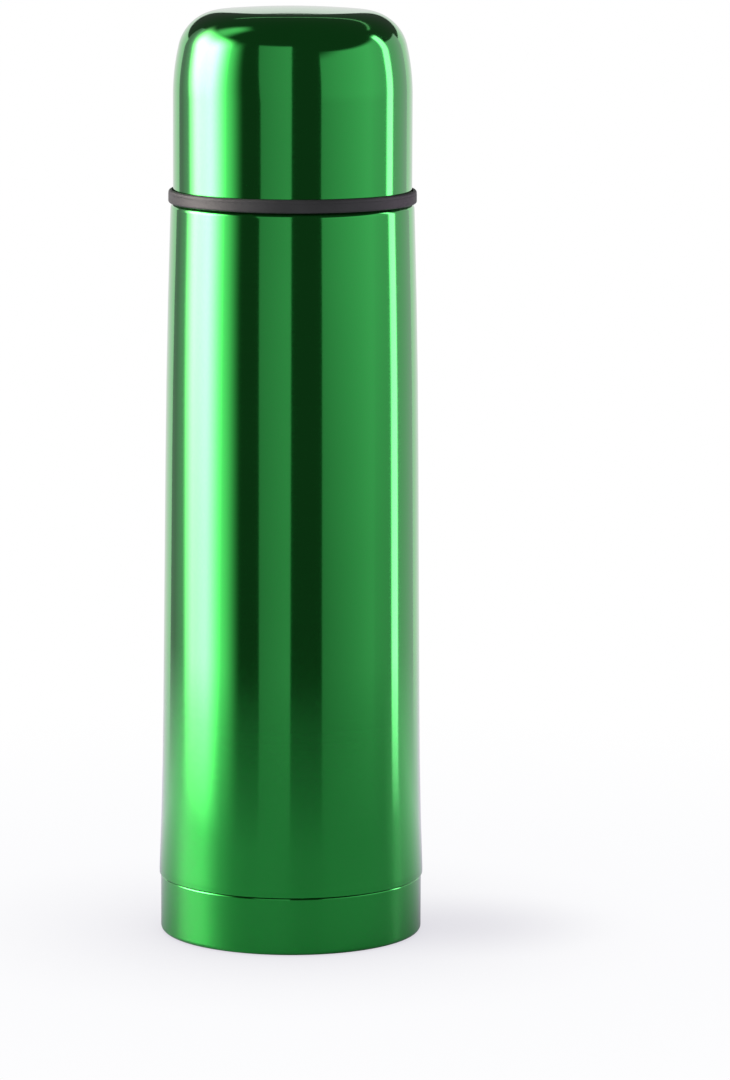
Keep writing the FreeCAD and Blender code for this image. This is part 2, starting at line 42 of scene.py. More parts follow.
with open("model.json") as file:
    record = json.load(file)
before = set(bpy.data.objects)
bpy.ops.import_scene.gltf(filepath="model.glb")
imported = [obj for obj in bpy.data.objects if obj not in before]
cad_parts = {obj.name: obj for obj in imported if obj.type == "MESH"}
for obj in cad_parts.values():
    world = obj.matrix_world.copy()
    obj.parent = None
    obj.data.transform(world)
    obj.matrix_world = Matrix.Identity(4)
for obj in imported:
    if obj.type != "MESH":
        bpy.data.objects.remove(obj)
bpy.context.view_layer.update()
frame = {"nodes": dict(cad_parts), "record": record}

MM = 0.001
AROUND = 256                 # facets round a turned piece
ARC_STEP = math.radians(7)   # turn between two points of an arc in an outline
WIRE_STEPS = 48              # rings of points in each turn of a spring
WIRE_SIDES = 14              # points round a spring's wire

# Sizes in millimetres
LIP_R = 35.0
LIP_Z = 15.4
LIP_TOP_Z = 17.0
FLARE = (34.169, 38.5, 1450.0)
BULGE = (33.029, 158.5, 2900.0)
SHOULDER_R = 31.9
SHOULDER_Z = 193.9
SHOULDER_BEND = 1.5
SHELL_WALL = 0.4
NECK_R = 25.5
RIM_Z = 212.0
BORE_R = 22.75
THROAT_R = 21.0
THROAT_Z = 190.0
SEAT_Z = 193.6
BORE_Z = 195.6
BASE_R = 34.6
BASE_WALL = 0.5
BASE_RING_R = 29.0           # inside of the ring that it stands on
BASE_PAN_R = 26.6
BASE_PAN_Z = 1.4
SEAM = 0.45                  # dark gap between the lip and the base cup's side
PLATE_Z = 19.6
PLATE_FLANGE_R = 34.5
BOTTLE_GAP = 3.1             # from the shell's outside to the wetted side
BOTTLE_WALL = 0.4
BOTTLE_FLOOR_Z = 22.8
BOTTLE_FLOOR_RISE = 3.6
BOTTLE_SHOULDER_Z = 186.1

RING_R = 32.52
RING_TOP_Z = 197.4
PARTING_Z = RING_TOP_Z - 1.05
RECESS_R = 31.65
RECESS_Z = RING_TOP_Z - 0.9
SLEEVE_R = 27.0
SLEEVE_TOP_Z = 209.0

CUP_R = 31.28
CUP_EDGE_Z = RECESS_Z + 0.3
CUP_SIDE_END_Z = 222.0
CUP_SIDE_BEND = 58.0
CUP_CORNER_BEND = 11.7
CUP_SIDE_TURN = math.radians(13)
CUP_TOTAL_TURN = math.radians(85)
CUP_WALL = 0.5
LINER_BORE_R = 28.75
LINER_INSIDE_R = 29.6
LEDGE_R = 27.7
LEDGE_Z = 211.2

LEAD = 12.0
STARTS = 3
RIB_TURN = math.radians(100)
RIB_ROOT = 1.9
RIB_CREST = 1.1
THREAD_ROWS = 72             # rows of faces up a threaded wall
TRACK_OFFSET = LEAD / STARTS / 2
CUP_THREAD_Z = 200.6
COLLAR_CREST_R = 28.2
LINER_CREST_R = 27.5
MOUTH_THREAD_Z = 200.8
MOUTH_CREST_R = 21.9

BUTTON_WIRE_R = 0.45
BUTTON_TURNS = 6
CATCH_WIRE_R = 0.2
CATCH_TURNS = 6


# ---------------------------------------------------------------- turned meshes

def line(start, end, count=1):
    """A straight stretch of outline as rows of (r, z, normal r, normal z)."""
    (r0, z0), (r1, z1) = start, end
    length = math.hypot(r1 - r0, z1 - z0)
    normal = ((z1 - z0) / length, (r0 - r1) / length)
    rows = []
    for i in range(count + 1):
        t = i / count
        rows.append((r0 + (r1 - r0) * t, z0 + (z1 - z0) * t, *normal))
    return rows


def arc(centre, radius, start, end, step=ARC_STEP):
    """An arc of outline from angle start to end; its normals point to the right of its way."""
    count = max(3, math.ceil(abs(end - start) / step))
    side = 1 if end > start else -1
    rows = []
    for i in range(count + 1):
        angle = start + (end - start) * i / count
        c, s = math.cos(angle), math.sin(angle)
        rows.append((centre[0] + radius * c, centre[1] + radius * s, side * c, side * s))
    return rows


def bent(corners, closed=True):
    """Stretches through (r, z, bend) corners, each corner rounded by an arc of radius bend."""
    count = len(corners)
    stretches = []
    ends = []
    for i, corner in enumerate(corners):
        here = Vector(corner[:2])
        bend = corner[2] if len(corner) > 2 else 0
        if bend == 0 or (not closed and i in (0, count - 1)):
            ends.append((here, None, here))
            continue
        back = (Vector(corners[i - 1][:2]) - here).normalized()
        ahead = (Vector(corners[(i + 1) % count][:2]) - here).normalized()
        half = back.angle(ahead) / 2
        reach = bend / math.tan(half)
        centre = here + (back + ahead).normalized() * (bend / math.sin(half))
        first = here + back * reach - centre
        last = here + ahead * reach - centre
        a0 = math.atan2(first.y, first.x)
        turn = math.atan2(first.x * last.y - first.y * last.x, first.dot(last))
        ends.append((here + back * reach, arc(centre, bend, a0, a0 + turn), here + ahead * reach))
    for i, (start, rounding, end) in enumerate(ends):
        if rounding:
            stretches.append(rounding)
        if i + 1 < count or closed:
            following = ends[(i + 1) % count][0]
            if (following - end).length > 1e-6:
                stretches.append(line(end, following))
    return stretches


def offset(stretches, distance):
    """The same stretches moved to their left by distance and run the other way."""
    moved = []
    for rows in reversed(stretches):
        back = []
        for r, z, nr, nz in reversed(rows):
            back.append((r - nr * distance, z - nz * distance, -nr, -nz))
        moved.append(back)
    return moved


def walled(stretches, wall):
    """A sheet of even thickness to the left of an open outline, as one closed outline."""
    inner = offset(stretches, wall)
    loop = list(stretches)
    first, last = stretches[0][0], stretches[-1][-1]
    if last[0] > 1e-6:
        loop.append(line(last[:2], inner[0][0][:2]))
    loop += inner
    if first[0] > 1e-6:
        loop.append(line(inner[-1][-1][:2], first[:2]))
    return loop


def placed(name, data):
    """A new object in the scene."""
    obj = bpy.data.objects.new(name, data)
    bpy.context.scene.collection.objects.link(obj)
    return obj


def paint(obj, slot_name):
    """Gives an object the look of a record slot."""
    obj.data.materials.clear()
    obj.data.materials.append(LOOKS[slot_name])


def finish_piece(obj, body, slot_name, nodes):
    """Paints a new piece and puts it on its body, in place of the nodes it stands for."""
    paint(obj, slot_name)
    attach(obj, body)
    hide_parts(*nodes)
    return obj


def turned(name, stretches, around=AROUND, relief=None):
    """A mesh turned from stretches that run anticlockwise in (r, z).

    relief is (function of (stretch index, angle, z)) that gives a radial rise in millimetres.
    """
    verts = []
    faces = []
    normals = []
    angles = np.linspace(0, 2 * math.pi, around, endpoint=False)
    cos, sin = np.cos(angles), np.sin(angles)
    made = []

    def ring(row, lift):
        for r, z, indices in made:
            if abs(row[0] - r) < 0.001 and abs(row[1] - z) < 0.001:
                return indices
        start = len(verts)
        if row[0] < 1e-6:
            verts.append((0, 0, row[1] * MM))
            made.append((row[0], row[1], [start] * around))
            return made[-1][2]
        radius = row[0] + lift
        for k in range(around):
            verts.append((radius[k] * cos[k] * MM, radius[k] * sin[k] * MM, row[1] * MM))
        made.append((row[0], row[1], list(range(start, start + around))))
        return made[-1][2]

    flat = np.zeros(around)
    for s, rows in enumerate(stretches):
        lifts = [relief(s, angles, row[1]) if relief else flat for row in rows]
        raised = relief is not None and any(np.any(lift) for lift in lifts)
        rings = [ring(row, lift) for row, lift in zip(rows, lifts)]
        if raised:
            grid = raised_normals(rows, lifts, cos, sin)
        for i in range(len(rows) - 1):
            low, high = rings[i], rings[i + 1]
            for k in range(around):
                m = (k + 1) % around
                corners = [(low[k], k, i), (low[m], m, i), (high[m], m, i + 1), (high[k], k, i + 1)]
                kept = []
                for corner in corners:
                    if corner[0] not in [seen[0] for seen in kept]:
                        kept.append(corner)
                if len(kept) < 3:
                    continue
                faces.append([corner[0] for corner in kept])
                for _, column, row in kept:
                    if raised:
                        normals.append(grid[row][column])
                    else:
                        nr, nz = rows[row][2:]
                        normals.append((nr * cos[column], nr * sin[column], nz))
    mesh = bpy.data.meshes.new(name)
    mesh.from_pydata(verts, [], faces)
    mesh.validate()
    mesh.shade_smooth()
    mesh.normals_split_custom_set(normals)
    return placed(name, mesh)


def raised_normals(rows, lifts, cos, sin):
    """Normals of a stretch whose radius is raised by a relief."""
    radius = np.array([row[0] + lift for row, lift in zip(rows, lifts)])
    height = np.array([row[1] for row in rows])[:, None] * np.ones(len(cos))
    point = np.stack([radius * cos, radius * sin, height], axis=-1)
    along = np.gradient(point, axis=0)
    round_way = np.roll(point, -1, axis=1) - np.roll(point, 1, axis=1)
    normal = np.cross(round_way, along)
    return normal / np.linalg.norm(normal, axis=-1, keepdims=True)


def coil(name, wire, turns, length):
    """A round wire wound round the z axis from z = 0 up; wire is (centre radius, wire radius)."""
    mean, thick = wire
    steps, sides = turns * WIRE_STEPS, WIRE_SIDES
    climb = (length - 2 * thick) / (turns * 2 * math.pi)
    verts, faces = [], []
    for i in range(steps + 1):
        turn = turns * 2 * math.pi * i / steps
        out = Vector((math.cos(turn), math.sin(turn), 0))
        ahead = Vector((-math.sin(turn) * mean, math.cos(turn) * mean, climb)).normalized()
        up = out.cross(ahead)
        centre = out * mean + Vector((0, 0, thick + climb * turn))
        for k in range(sides):
            a = 2 * math.pi * k / sides
            verts.append((centre + (out * math.cos(a) + up * math.sin(a)) * thick) * MM)
    for i in range(steps):
        for k in range(sides):
            m = (k + 1) % sides
            a, b = i * sides, (i + 1) * sides
            faces.append((a + k, b + k, b + m, a + m))
    faces.append(tuple(range(sides)))
    faces.append(tuple(steps * sides + k for k in reversed(range(sides))))
    mesh = bpy.data.meshes.new(name)
    mesh.from_pydata(verts, [], faces)
    mesh.shade_smooth()
    mesh.polygons[-1].use_smooth = mesh.polygons[-2].use_smooth = False
    return placed(name, mesh)


def smooth_step(value):
    """0 below 0, 1 above 1, and an even blend between."""
    t = np.clip(value, 0, 1)
    return t * t * (3 - 2 * t)


def thread(stretch, height, z_start):
    """Relief of the thread ribs on one stretch: height is the rib's rise, + outwards."""
    def relief(s, angles, z):
        lift = np.zeros(len(angles))
        if s != stretch:
            return lift
        flank = (RIB_ROOT - RIB_CREST) / 2
        for start in range(STARTS):
            for lap in (-1, 0, 1):
                turn = angles - 2 * math.pi * start / STARTS + 2 * math.pi * lap
                inside = (turn >= 0) & (turn <= RIB_TURN)
                distance = np.abs(z - z_start - LEAD * turn / (2 * math.pi))
                shape = smooth_step((RIB_ROOT / 2 - distance) / flank)
                taper = smooth_step(np.minimum(turn, RIB_TURN - turn) / math.radians(7))
                lift = np.maximum(lift, np.where(inside, shape * taper, 0))
        return lift * height
    return relief


# ---------------------------------------------------------------- node materials

class Nodes:
    """A small helper for a material's node tree."""

    def __init__(self, name):
        self.material = bpy.data.materials.new(name)
        self.material.use_nodes = True
        self.tree = self.material.node_tree
        self.shader = self.tree.nodes["Principled BSDF"]
        self.coord = self.add("ShaderNodeTexCoord").outputs["Object"]

    def add(self, kind, **settings):
        """Adds a node with its settings; sockets are given by name with underscores."""
        node = self.tree.nodes.new(kind)
        for key, value in settings.items():
            if hasattr(node, key):
                setattr(node, key, value)
            else:
                node.inputs[key.replace("_", " ")].default_value = value
        return node

    def link(self, output, target):
        """Joins two sockets."""
        self.tree.links.new(output, target)

    def uniform(self, **values):
        """Sets the shader's own sockets."""
        for key, value in values.items():
            self.shader.inputs[key.replace("_", " ")].default_value = value

    def stretched(self, x, y, z):
        """Object coordinates scaled per axis."""
        mapping = self.add("ShaderNodeMapping")
        mapping.inputs["Scale"].default_value = (x, y, z)
        self.link(self.coord, mapping.inputs["Vector"])
        return mapping.outputs["Vector"]

    def rings(self, z_scale):
        """Coordinates that change with height and radius only, for marks left by turning."""
        split = self.add("ShaderNodeSeparateXYZ")
        self.link(self.coord, split.inputs[0])
        flat = self.add("ShaderNodeCombineXYZ")
        self.link(split.outputs["X"], flat.inputs["X"])
        self.link(split.outputs["Y"], flat.inputs["Y"])
        radius = self.add("ShaderNodeVectorMath", operation="LENGTH")
        self.link(flat.outputs[0], radius.inputs[0])
        joined = self.add("ShaderNodeCombineXYZ")
        self.link(radius.outputs["Value"], joined.inputs["X"])
        self.link(split.outputs["Z"], joined.inputs["Z"])
        mapping = self.add("ShaderNodeMapping")
        mapping.inputs["Scale"].default_value = (z_scale, 1, z_scale)
        self.link(joined.outputs[0], mapping.inputs["Vector"])
        return mapping.outputs["Vector"]

    def noise(self, vector, scale, detail=3.0, roughness=0.55):
        """A noise texture's value."""
        node = self.add("ShaderNodeTexNoise", Scale=scale, Detail=detail, Roughness=roughness)
        self.link(vector, node.inputs["Vector"])
        return node.outputs["Fac"]

    def ramp(self, value, low, high, span=(0.3, 0.7)):
        """Maps a value's span to low..high numbers."""
        node = self.add("ShaderNodeMapRange")
        node.inputs["From Min"].default_value = span[0]
        node.inputs["From Max"].default_value = span[1]
        node.inputs["To Min"].default_value = low
        node.inputs["To Max"].default_value = high
        self.link(value, node.inputs["Value"])
        return node.outputs["Result"]

    def mix(self, factor, first, second):
        """Blends two colours; the second may be another node's output."""
        node = self.add("ShaderNodeMix", data_type="RGBA")
        colours = [socket for socket in node.inputs if socket.type == "RGBA"]
        colours[0].default_value = (*first, 1)
        if isinstance(second, tuple):
            colours[1].default_value = (*second, 1)
        else:
            self.link(second, colours[1])
        self.link(factor, node.inputs["Factor"])
        return [socket for socket in node.outputs if socket.type == "RGBA"][0]

    def tint(self, value, dark, light, span=(0.3, 0.7)):
        """Blends two colours by a value and feeds the base colour."""
        blend = self.mix(self.ramp(value, 0, 1, span), dark, light)
        self.link(blend, self.shader.inputs["Base Color"])

    def rough(self, value, low, high, span=(0.3, 0.7)):
        """Feeds the roughness from a value."""
        self.link(self.ramp(value, low, high, span), self.shader.inputs["Roughness"])

    def bump(self, value, depth, strength=1.0, after=None):
        """Adds a bump of that depth in metres, on top of an earlier one if given."""
        node = self.add("ShaderNodeBump", Strength=strength, Distance=depth)
        self.link(value, node.inputs["Height"])
        if after is not None:
            self.link(after, node.inputs["Normal"])
        self.link(node.outputs["Normal"], self.shader.inputs["Normal"])
        return node.outputs["Normal"]


def green_lacquer():
    """Clear green lacquer over polished steel, with faint marks of circular polishing."""
    n = Nodes("green_lacquer")
    n.uniform(Metallic=1.0, Coat_Weight=0.85, Coat_Roughness=0.03, Coat_IOR=1.5)
    cloud = n.noise(n.stretched(1, 1, 1), 14, 2)
    n.tint(cloud, (0.028, 0.58, 0.072), (0.033, 0.62, 0.080))
    lines = n.noise(n.rings(1), 900, 4, 0.7)
    n.rough(lines, 0.075, 0.105)
    n.bump(lines, 0.0000012)
    return n.material


def bottle_steel():
    """Electropolished steel with the fine rings of spinning."""
    n = Nodes("bottle_steel")
    n.uniform(Metallic=1.0)
    rings = n.noise(n.rings(1), 1400, 5, 0.75)
    n.tint(n.noise(n.coord, 30, 3), (0.60, 0.595, 0.58), (0.70, 0.695, 0.68))
    n.rough(rings, 0.20, 0.34)
    n.bump(rings, 0.000008)
    return n.material


def plate_steel():
    """Plain rolled steel."""
    n = Nodes("plate_steel")
    n.uniform(Metallic=1.0)
    grain = n.noise(n.stretched(1, 14, 1), 260, 4)
    n.tint(n.noise(n.coord, 60, 3), (0.46, 0.455, 0.45), (0.56, 0.555, 0.55))
    n.rough(grain, 0.32, 0.48)
    n.bump(grain, 0.00001)
    return n.material


def copper_foil():
    """Bright foil with shallow crinkles."""
    n = Nodes("copper_foil")
    n.uniform(Metallic=1.0)
    crinkle = n.noise(n.stretched(1, 1, 1.6), 120, 5, 0.6)
    n.tint(n.noise(n.coord, 40, 3), (0.76, 0.36, 0.22), (0.86, 0.46, 0.31))
    n.rough(crinkle, 0.16, 0.30)
    n.bump(crinkle, 0.0002)
    return n.material


def moulded(name, dark, light, rough, grain=3400.0, depth=0.00002):
    """Moulded plastic with a fine spark-eroded grain."""
    n = Nodes(name)
    n.uniform(IOR=1.49)
    n.tint(n.noise(n.coord, 90, 4), dark, light)
    fine = n.noise(n.coord, grain, 3, 0.6)
    n.rough(fine, rough[0], rough[1])
    n.bump(fine, depth)
    return n.material


def silicone():
    """Soft translucent white silicone with a fine bloom."""
    n = Nodes("silicone")
    n.uniform(IOR=1.41, Subsurface_Weight=0.35, Subsurface_Radius=(0.004, 0.004, 0.0036))
    n.uniform(Subsurface_Scale=0.5)
    n.tint(n.noise(n.coord, 160, 3), (0.66, 0.66, 0.63), (0.76, 0.76, 0.73))
    bloom = n.noise(n.coord, 1800, 3)
    n.rough(bloom, 0.38, 0.52)
    n.bump(bloom, 0.00001)
    return n.material


def foam():
    """Rigid foam with closed cells."""
    n = Nodes("foam")
    cells = n.add("ShaderNodeTexVoronoi", Scale=1100.0)
    n.link(n.coord, cells.inputs["Vector"])
    n.tint(n.noise(n.coord, 120, 3), (0.62, 0.56, 0.40), (0.78, 0.73, 0.58))
    n.rough(cells.outputs["Distance"], 0.75, 0.95, (0.0, 0.7))
    n.bump(cells.outputs["Distance"], 0.00025)
    return n.material


def drawn_steel(name, low, high):
    """Drawn or turned steel with fine lines along its length."""
    n = Nodes(name)
    n.uniform(Metallic=1.0)
    lines = n.noise(n.rings(1), 2600, 4, 0.7)
    n.tint(n.noise(n.coord, 200, 3), low, high)
    n.rough(lines, 0.18, 0.32)
    n.bump(lines, 0.000005)
    return n.material


def solder_glass():
    """Dark glassy solder with small bubbles."""
    n = Nodes("solder_glass")
    n.uniform(IOR=1.6)
    bubbles = n.noise(n.coord, 1500, 2)
    n.tint(bubbles, (0.05, 0.052, 0.06), (0.12, 0.125, 0.14))
    n.rough(bubbles, 0.10, 0.24)
    n.bump(bubbles, 0.00005)
    return n.material


def getter_grey():
    """Sintered metal powder."""
    n = Nodes("getter_grey")
    n.uniform(Metallic=0.6)
    powder = n.noise(n.coord, 4200, 3, 0.7)
    n.tint(powder, (0.16, 0.16, 0.165), (0.30, 0.30, 0.305))
    n.rough(powder, 0.6, 0.85)
    n.bump(powder, 0.00008)
    return n.material


LOOKS = {
    "green_lacquer": green_lacquer(),
    "bottle_steel": bottle_steel(),
    "plate_steel": plate_steel(),
    "copper_foil": copper_foil(),
    "solder_glass": solder_glass(),
    "getter_grey": getter_grey(),
    "collar_plastic": moulded(
        "collar_plastic", (0.019, 0.019, 0.0205), (0.028, 0.028, 0.030), (0.42, 0.60), 2600.0, 0.00005),
    "liner_plastic": moulded(
        "liner_plastic", (0.36, 0.37, 0.365), (0.41, 0.42, 0.415), (0.30, 0.42), 1500.0, 0.000006),
    "stopper_plastic": moulded(
        "stopper_plastic", (0.017, 0.017, 0.019), (0.026, 0.026, 0.028), (0.34, 0.50)),
    "cage_plastic": moulded(
        "cage_plastic", (0.022, 0.022, 0.024), (0.032, 0.032, 0.034), (0.30, 0.42), 2000.0, 0.00001),
    "button_plastic": moulded(
        "button_plastic", (0.012, 0.17, 0.036), (0.016, 0.20, 0.044), (0.16, 0.26), 1500.0, 0.000005),
    "foam": foam(),
    "silicone": silicone(),
    "spring_steel": drawn_steel("spring_steel", (0.50, 0.50, 0.50), (0.62, 0.62, 0.61)),
    "stem_steel": drawn_steel("stem_steel", (0.58, 0.58, 0.575), (0.68, 0.68, 0.675)),
}

for part in frame["record"]["subparts"]:
    paint(frame["nodes"][part["node"]], part["material_slot"])


# ---------------------------------------------------------------- flask body

def taper_radius(z):
    """Radius of the body's straight taper at a height."""
    slope = (BULGE[0] - FLARE[0]) / (BULGE[1] - FLARE[1])
    return FLARE[0] + slope * (z - FLARE[1])


def make_outer_shell():
    """Body tube, shoulder and neck; its lower edge is rolled round."""
    outside = bent([
        (LIP_R - 0.2, LIP_Z),
        (LIP_R, LIP_Z, 0.17),
        (LIP_R, LIP_TOP_Z, 1.0),
        FLARE,
        BULGE,
        (SHOULDER_R, SHOULDER_Z, SHOULDER_BEND),
        (NECK_R, SHOULDER_Z, 1.0),
        (NECK_R, RIM_Z - BOTTLE_WALL),
    ], closed=False)
    obj = turned("outer_shell_skin", walled_lip(outside))
    return finish_piece(obj, "flask", "green_lacquer", ["outer_shell"])


def walled_lip(outside):
    """The shell's wall, whose inside runs straight down to its lower edge."""
    inner = offset(outside[1:], SHELL_WALL)
    inner_low = inner[-1][-1]
    loop = list(outside)
    last = outside[-1][-1]
    loop.append(line(last[:2], inner[0][0][:2]))
    loop += inner
    loop.append(line(inner_low[:2], outside[0][0][:2]))
    return loop


def make_base_cup():
    """The cap under the body: a standing ring, a plain side and an edge stepped in under the lip."""
    insert_r = PLATE_FLANGE_R - SHELL_WALL
    outside = bent([
        (0, BASE_PAN_Z),
        (BASE_PAN_R, BASE_PAN_Z, 1.0),
        (BASE_RING_R, 0, 1.0),
        (BASE_R, 0, 1.2),
        (BASE_R, LIP_Z - SEAM, 0.6),
        (insert_r, LIP_Z - SEAM + 0.8, 0.3),
        (insert_r, PLATE_Z - 1.2),
    ], closed=False)
    obj = turned("base_cup_skin", walled(outside, BASE_WALL))
    return finish_piece(obj, "flask", "green_lacquer", ["base_cup"])


def with_rows(stretches, radius, count):
    """Splits the upright stretch at that radius into rows; returns the stretches and its number."""
    for i, rows in enumerate(stretches):
        ends = (rows[0], rows[-1])
        if len(rows) == 2 and all(abs(end[0] - radius) < 1e-6 for end in ends):
            split = list(stretches)
            split[i] = line(ends[0][:2], ends[1][:2], count)
            return split, i
    raise ValueError("no upright stretch at that radius")


def make_neck_collar():
    """The ring between body and cup, with its moulding seam, and the threaded sleeve above it."""
    groove = 0.05
    outline = bent([
        (NECK_R + 1.3, SHOULDER_Z),
        (RING_R, SHOULDER_Z, 0.55),
        (RING_R, PARTING_Z - groove),
        (RING_R - groove, PARTING_Z),
        (RING_R - groove / 2, PARTING_Z + groove),
        (RING_R - groove, RING_TOP_Z, 0.75),
        (RECESS_R, RING_TOP_Z, 0.06),
        (RECESS_R, RECESS_Z, 0.15),
        (SLEEVE_R, RECESS_Z, 0.6),
        (SLEEVE_R, SLEEVE_TOP_Z, 0.4),
        (NECK_R, SLEEVE_TOP_Z),
        (NECK_R, SHOULDER_Z + 1.3),
    ])
    split, side = with_rows(outline, SLEEVE_R, THREAD_ROWS)
    relief = thread(side, COLLAR_CREST_R - SLEEVE_R, CUP_THREAD_Z)
    obj = turned("neck_collar_skin", split, relief=relief)
    return finish_piece(obj, "flask", "collar_plastic", ["neck_collar"])


# ---------------------------------------------------------------- cup

def dome(inset, low):
    """The cup's outside moved in by inset, from a height on its straight side to the crown's middle."""
    side_centre = (CUP_R - CUP_SIDE_BEND, CUP_SIDE_END_Z)
    c, s = math.cos(CUP_SIDE_TURN), math.sin(CUP_SIDE_TURN)
    reach = CUP_SIDE_BEND - CUP_CORNER_BEND
    corner_centre = (side_centre[0] + c * reach, side_centre[1] + s * reach)
    crown_r = corner_centre[0] + math.cos(CUP_TOTAL_TURN) * CUP_CORNER_BEND
    crown_z = corner_centre[1] + math.sin(CUP_TOTAL_TURN) * CUP_CORNER_BEND
    crown_bend = crown_r / math.cos(CUP_TOTAL_TURN)
    crown_centre = (0, crown_z - crown_bend * math.sin(CUP_TOTAL_TURN))
    fine = math.radians(1.5)
    crown = arc(crown_centre, crown_bend - inset, CUP_TOTAL_TURN, math.pi / 2, fine / 4)
    crown[-1] = (0, *crown[-1][1:])
    return [
        line((CUP_R - inset, low), (CUP_R - inset, CUP_SIDE_END_Z)),
        arc(side_centre, CUP_SIDE_BEND - inset, 0, CUP_SIDE_TURN, fine),
        arc(corner_centre, CUP_CORNER_BEND - inset, CUP_SIDE_TURN, CUP_TOTAL_TURN, fine),
        crown,
    ]


def make_cup_shell():
    """The lacquered dome, with its lower edge rounded."""
    edge = 0.2
    rounding = arc((CUP_R - edge, CUP_EDGE_Z + edge), edge, -math.pi / 2, 0)
    side = dome(0, CUP_EDGE_Z + edge)
    inside = offset(side, CUP_WALL)
    low = (CUP_R - CUP_WALL, CUP_EDGE_Z)
    foot = [line(inside[-1][-1][:2], low), line(low, rounding[0][:2])]
    obj = turned("cup_shell_skin", [rounding] + side + inside + foot)
    return finish_piece(obj, "cup", "green_lacquer", ["cup_shell"])


def make_cup_liner():
    """The dome's lining, thick at its mouth where it carries the thread, with a step for the seal."""
    outside = dome(CUP_WALL, CUP_EDGE_Z)
    inside = offset(dome(CUP_R - LINER_INSIDE_R, LEDGE_Z + 3.0), 0)
    ledge = bent([
        (LINER_INSIDE_R, LEDGE_Z + 3.0),
        (LEDGE_R, LEDGE_Z + 1.1, 0.2),
        (LEDGE_R, LEDGE_Z, 0.1),
        (LINER_BORE_R, LEDGE_Z, 0.1),
        (LINER_BORE_R, CUP_EDGE_Z, 0.15),
        (CUP_R - CUP_WALL, CUP_EDGE_Z),
    ], closed=False)
    split, side = with_rows(outside + inside + ledge, LINER_BORE_R, THREAD_ROWS)
    relief = thread(side, LINER_CREST_R - LINER_BORE_R, CUP_THREAD_Z + TRACK_OFFSET)
    obj = turned("cup_liner_skin", split, relief=relief)
    return finish_piece(obj, "cup", "liner_plastic", ["cup_liner"])


# ---------------------------------------------------------------- bottle and springs

def bottle_radius(z):
    """Wetted radius of the inner bottle's side."""
    return taper_radius(z) - BOTTLE_GAP


def make_inner_bottle():
    """The steel bottle that holds the drink, with the stopper's thread rolled into its mouth."""
    raised = BOTTLE_FLOOR_Z + BOTTLE_FLOOR_RISE
    wetted = bent([
        (0, raised),
        (9.0, raised, 12.0),
        (22.0, BOTTLE_FLOOR_Z, 12.0),
        (bottle_radius(BOTTLE_FLOOR_Z), BOTTLE_FLOOR_Z, 6.6),
        (bottle_radius(BOTTLE_SHOULDER_Z), BOTTLE_SHOULDER_Z, 7.6),
        (THROAT_R, THROAT_Z, 1.6),
        (THROAT_R, SEAT_Z, 0.8),
        (BORE_R, BORE_Z, 0.8),
        (BORE_R, RIM_Z, 0.8),
        (NECK_R, RIM_Z),
    ], closed=False)
    outside = offset(offset(wetted, -BOTTLE_WALL), 0)
    wall = outside + [line(outside[-1][-1][:2], wetted[-1][-1][:2])] + offset(wetted, 0)
    split, side = with_rows(wall, BORE_R, THREAD_ROWS)
    relief = thread(side, MOUTH_CREST_R - BORE_R, MOUTH_THREAD_Z)
    obj = turned("inner_bottle_skin", split, relief=relief)
    return finish_piece(obj, "flask", "bottle_steel", ["inner_bottle"])


def make_button_spring():
    """The coil under the button, at the length of its CAD part."""
    low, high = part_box("button_spring")
    length = high[2] - low[2]
    radius = (high[0] - low[0]) / 2 / MM - BUTTON_WIRE_R
    obj = coil("button_spring_wire", (radius, BUTTON_WIRE_R), BUTTON_TURNS, length / MM)
    obj.data.transform(Matrix.Translation((0, 0, low[2])))
    finish_piece(obj, "stopper", "spring_steel", ["button_spring"])
    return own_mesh(obj)


def make_latch_spring():
    """The small coil behind the catch, at the length of its CAD part."""
    low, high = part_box("latch_spring")
    length = high[1] - low[1]
    middle = (low[2] + high[2]) / 2
    radius = (high[2] - low[2]) / 2 / MM - CATCH_WIRE_R
    obj = coil("latch_spring_wire", (radius, CATCH_WIRE_R), CATCH_TURNS, length / MM)
    obj.data.transform(Matrix.Rotation(math.radians(-90), 4, "X"))
    obj.data.transform(Matrix.Translation((0, low[1], middle)))
    finish_piece(obj, "stopper", "spring_steel", ["latch_spring"])
    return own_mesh(obj)


make_outer_shell()
make_base_cup()
make_neck_collar()
make_cup_shell()
make_cup_liner()
make_inner_bottle()
make_button_spring()
make_latch_spring()


# ---------------------------------------------------------------- studio

CAMERA_DISTANCE = 1.4443     # from the axis, along the floor
CAMERA_HEIGHT = 0.3243
CAMERA_PITCH = math.radians(8.65)
CAMERA_YAW = math.radians(0.767)
CAMERA_ROLL = math.radians(0.25)
LENS = 184.33                # millimetres, on a long side of 36


def make_camera():
    """The camera at the photograph's angle, a little to the right of the flask."""
    yaw, pitch, roll = CAMERA_YAW, CAMERA_PITCH, CAMERA_ROLL
    level = math.cos(pitch)
    ahead = Vector((math.sin(yaw) * level, math.cos(yaw) * level, -math.sin(pitch)))
    side = ahead.cross(Vector((0, 0, 1))).normalized()
    top = side.cross(ahead)
    right = side * math.cos(roll) + top * math.sin(roll)
    up = top * math.cos(roll) - side * math.sin(roll)
    data = bpy.data.cameras.new("camera")
    data.lens = LENS
    data.sensor_width = 36.0
    data.clip_end = 50.0
    camera = placed("camera", data)
    turn = Matrix((right, up, -ahead)).transposed().to_4x4()
    camera.matrix_world = Matrix.Translation((0, -CAMERA_DISTANCE, CAMERA_HEIGHT)) @ turn
    bpy.context.scene.camera = camera


